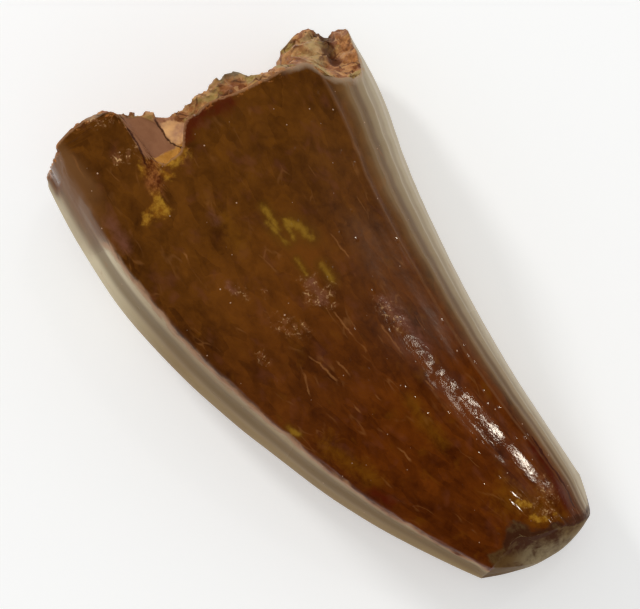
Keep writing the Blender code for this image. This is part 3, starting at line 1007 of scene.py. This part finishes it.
dentine = mix(pink, dentine, mix(smudges, (126, 76, 46), (174, 120, 84)))
pale = mix(steps(blotches, 0.4, 0.6), (238, 180, 118), (184, 132, 100))
dentine = mix(white, dentine, pale)
slab = mix(fine, (154, 122, 74), (204, 178, 122))
dentine = mix(patch("slabs") * 0.8, dentine, slab)
dentine = mix(patch("murk") * 0.85, dentine, mix(fine, (44, 32, 14), (124, 108, 74)))
dentine = mix(honey * 0.8 * (1 - pink), dentine, (204, 140, 48))
enamel.count()

# %% [markdown]
# The enamel's own broken edge is pale, and paler on the fluted side. The worn face at the tip is dark in its
# middle and beside its rim, khaki beyond, and brown towards the front.

# %% Join the colours
ragged = from_rim + (fine - 0.5) * 0.3
inside = highest(steps(ragged, 0.02, -0.06), pink)
rim_line = steps(ragged, 0.16, 0.04) * (1 - inside)
from_worn_edge = enamel.attribute("worn") + (fine - 0.5) * 0.5
worn = steps(from_worn_edge, -0.1, 0.14)
worn_colour = mix(steps(from_worn_edge, 0.2, 1.6), (116, 90, 54), (144, 126, 94))
dark_rim = steps(from_worn_edge, 0.3, 0.1) * steps(across_on, -0.35, 0.0)
brown_front = steps(part(place, "Y"), -0.6, -1.8)
worn_colour = mix(brown_front * 0.75, worn_colour, (92, 62, 26))
dark_part = highest(patch("dark_tip", 1.0), dark_rim)
worn_colour = mix(dark_part * 0.92, worn_colour, (64, 26, 8))
colour = mix(rim_line * 0.6, body, (190, 138, 96))
lip = steps(ragged, 0.4, 0.12) * steps(across_on, 0.40, 0.55)
colour = mix(lip * 0.6, colour, (184, 158, 130))
colour = mix(worn, colour, worn_colour)
colour = mix(inside, colour, dentine)
# The gap at the back corner is painted dark: painted shade.
colour = mix(steps(enamel.attribute("hollow"), 0.1, 0.9) * 0.8, colour, (84, 36, 14))
colour = mix(line("cracks", 0.06) * 0.85, colour, (62, 22, 10))
enamel.feed(enamel.shader, "Base Color", colour)
enamel.count()

# %% [markdown]
# ## Gloss and fine relief
# The enamel shines like glass, but its fine grain, grit and pits break each reflection into sparkles. Relief
# that is finer than the skin's own points comes from a Bump node, whose height is written in millimetres.

# %% Gloss and relief
HAIR, PEBBLES, PITS, SPECKS, GRIT = 0.0022, 0.006, 0.012, 0.01, 0.016  # mm
CRUMBLE, CLEAN_BREAK = 0.09, 0.02  # mm, on the dentine and on its clean wedge

hair = enamel.noise(stretch(flow, 0.35, 0.018, 0.018), 5.0, 2.0, 0.55)
pebbles = enamel.noise(stretch(flow, 0.8, 0.06, 0.06), 6.0, 3.0, 0.6)
pits = enamel.cells(stretch(flow, 1.0, 0.09, 0.09))
pit_depth = steps(pits, 0.16, 0.05)
ridge_on = enamel.attribute("ridge")
calm = steps(enamel.attribute("calm") + (smudges - 0.5) * 1.2, -0.1, 0.5)
grit = enamel.noise(stretch(place, 0.2, 0.13, 0.2), 17.0, 2.0, 0.6)
gritty = highest(sparks, ridge_on * (1 - calm * 0.2))
enamel_relief = hair * HAIR + pebbles * PEBBLES - pit_depth * PITS + speck * SPECKS
enamel_relief = enamel_relief + grit * gritty * GRIT
dentine_relief = fine * (CRUMBLE - (CRUMBLE - CLEAN_BREAK) * pink)
relief = enamel_relief + (dentine_relief - enamel_relief) * inside
bump = enamel.node("ShaderNodeBump", {}, {"Strength": 1.0, "Distance": MM, "Height": relief})
enamel.feed(enamel.shader, "Normal", bump)
duller = steps(along_on, 6.5, 2.5)
roughness = 0.09 + 0.3 * inside + 0.1 * edges + 0.2 * worn + 0.1 * duller + 0.04 * calm
enamel.feed(enamel.shader, "Roughness", roughness)
enamel.shader.inputs["IOR"].default_value = 1.4
enamel.shader.inputs["Specular Tint"].default_value = (1.0, 0.9, 0.74, 1)
enamel.count()

# %% [markdown]
# The flanks and the worn face are weathered, and so are stretches of the ridge. There a matte shader is mixed
# in. On the flanks it takes out most of the glossy reflection of the table, which their pale colour paints in
# instead. Where two of them overlap, the higher share counts.

# %% Weathering
matte = enamel.node("ShaderNodeBsdfPrincipled", {}, {"Base Color": colour, "Roughness": 0.5, "Normal": bump,
                                                     "Specular IOR Level": 0.03})
front_band = steps(across_on, -0.76, -0.84)
rear_band = steps(across_on, 0.60, 0.66)
dull = steps(enamel.attribute("dull"), -0.3, 0.5)
ridge_gaps = steps(enamel.noise(stretch(place, 0.55, 0.4, 0.55), 23.0, 2.0), 0.46, 0.54)
dull_ridge = ridge_on * (1 - calm) * (0.6 + ridge_gaps * 0.37)
weathered = highest(front_band * 0.85, rear_band * 0.7, faded * 0.9, brown_lobe, worn, dull * 0.9,
                    dull_ridge, enamel.attribute("furrows"))
glossy = Value(enamel, enamel.shader.outputs[0])
mixed = enamel.node("ShaderNodeMixShader", {}, {0: weathered * (1 - inside), 1: glossy, 2: matte})
enamel.feed(enamel.tree.nodes["Material Output"], "Surface", mixed)
crown.data.materials.append(enamel.material)
enamel.count()

# %% [markdown]
# ## Hand the crown over
# The crown rides on the object's one body, and stands for the solid that it was carved from.

# %% Finish
crown.data.update()
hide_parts("tooth")
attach(crown, "root")
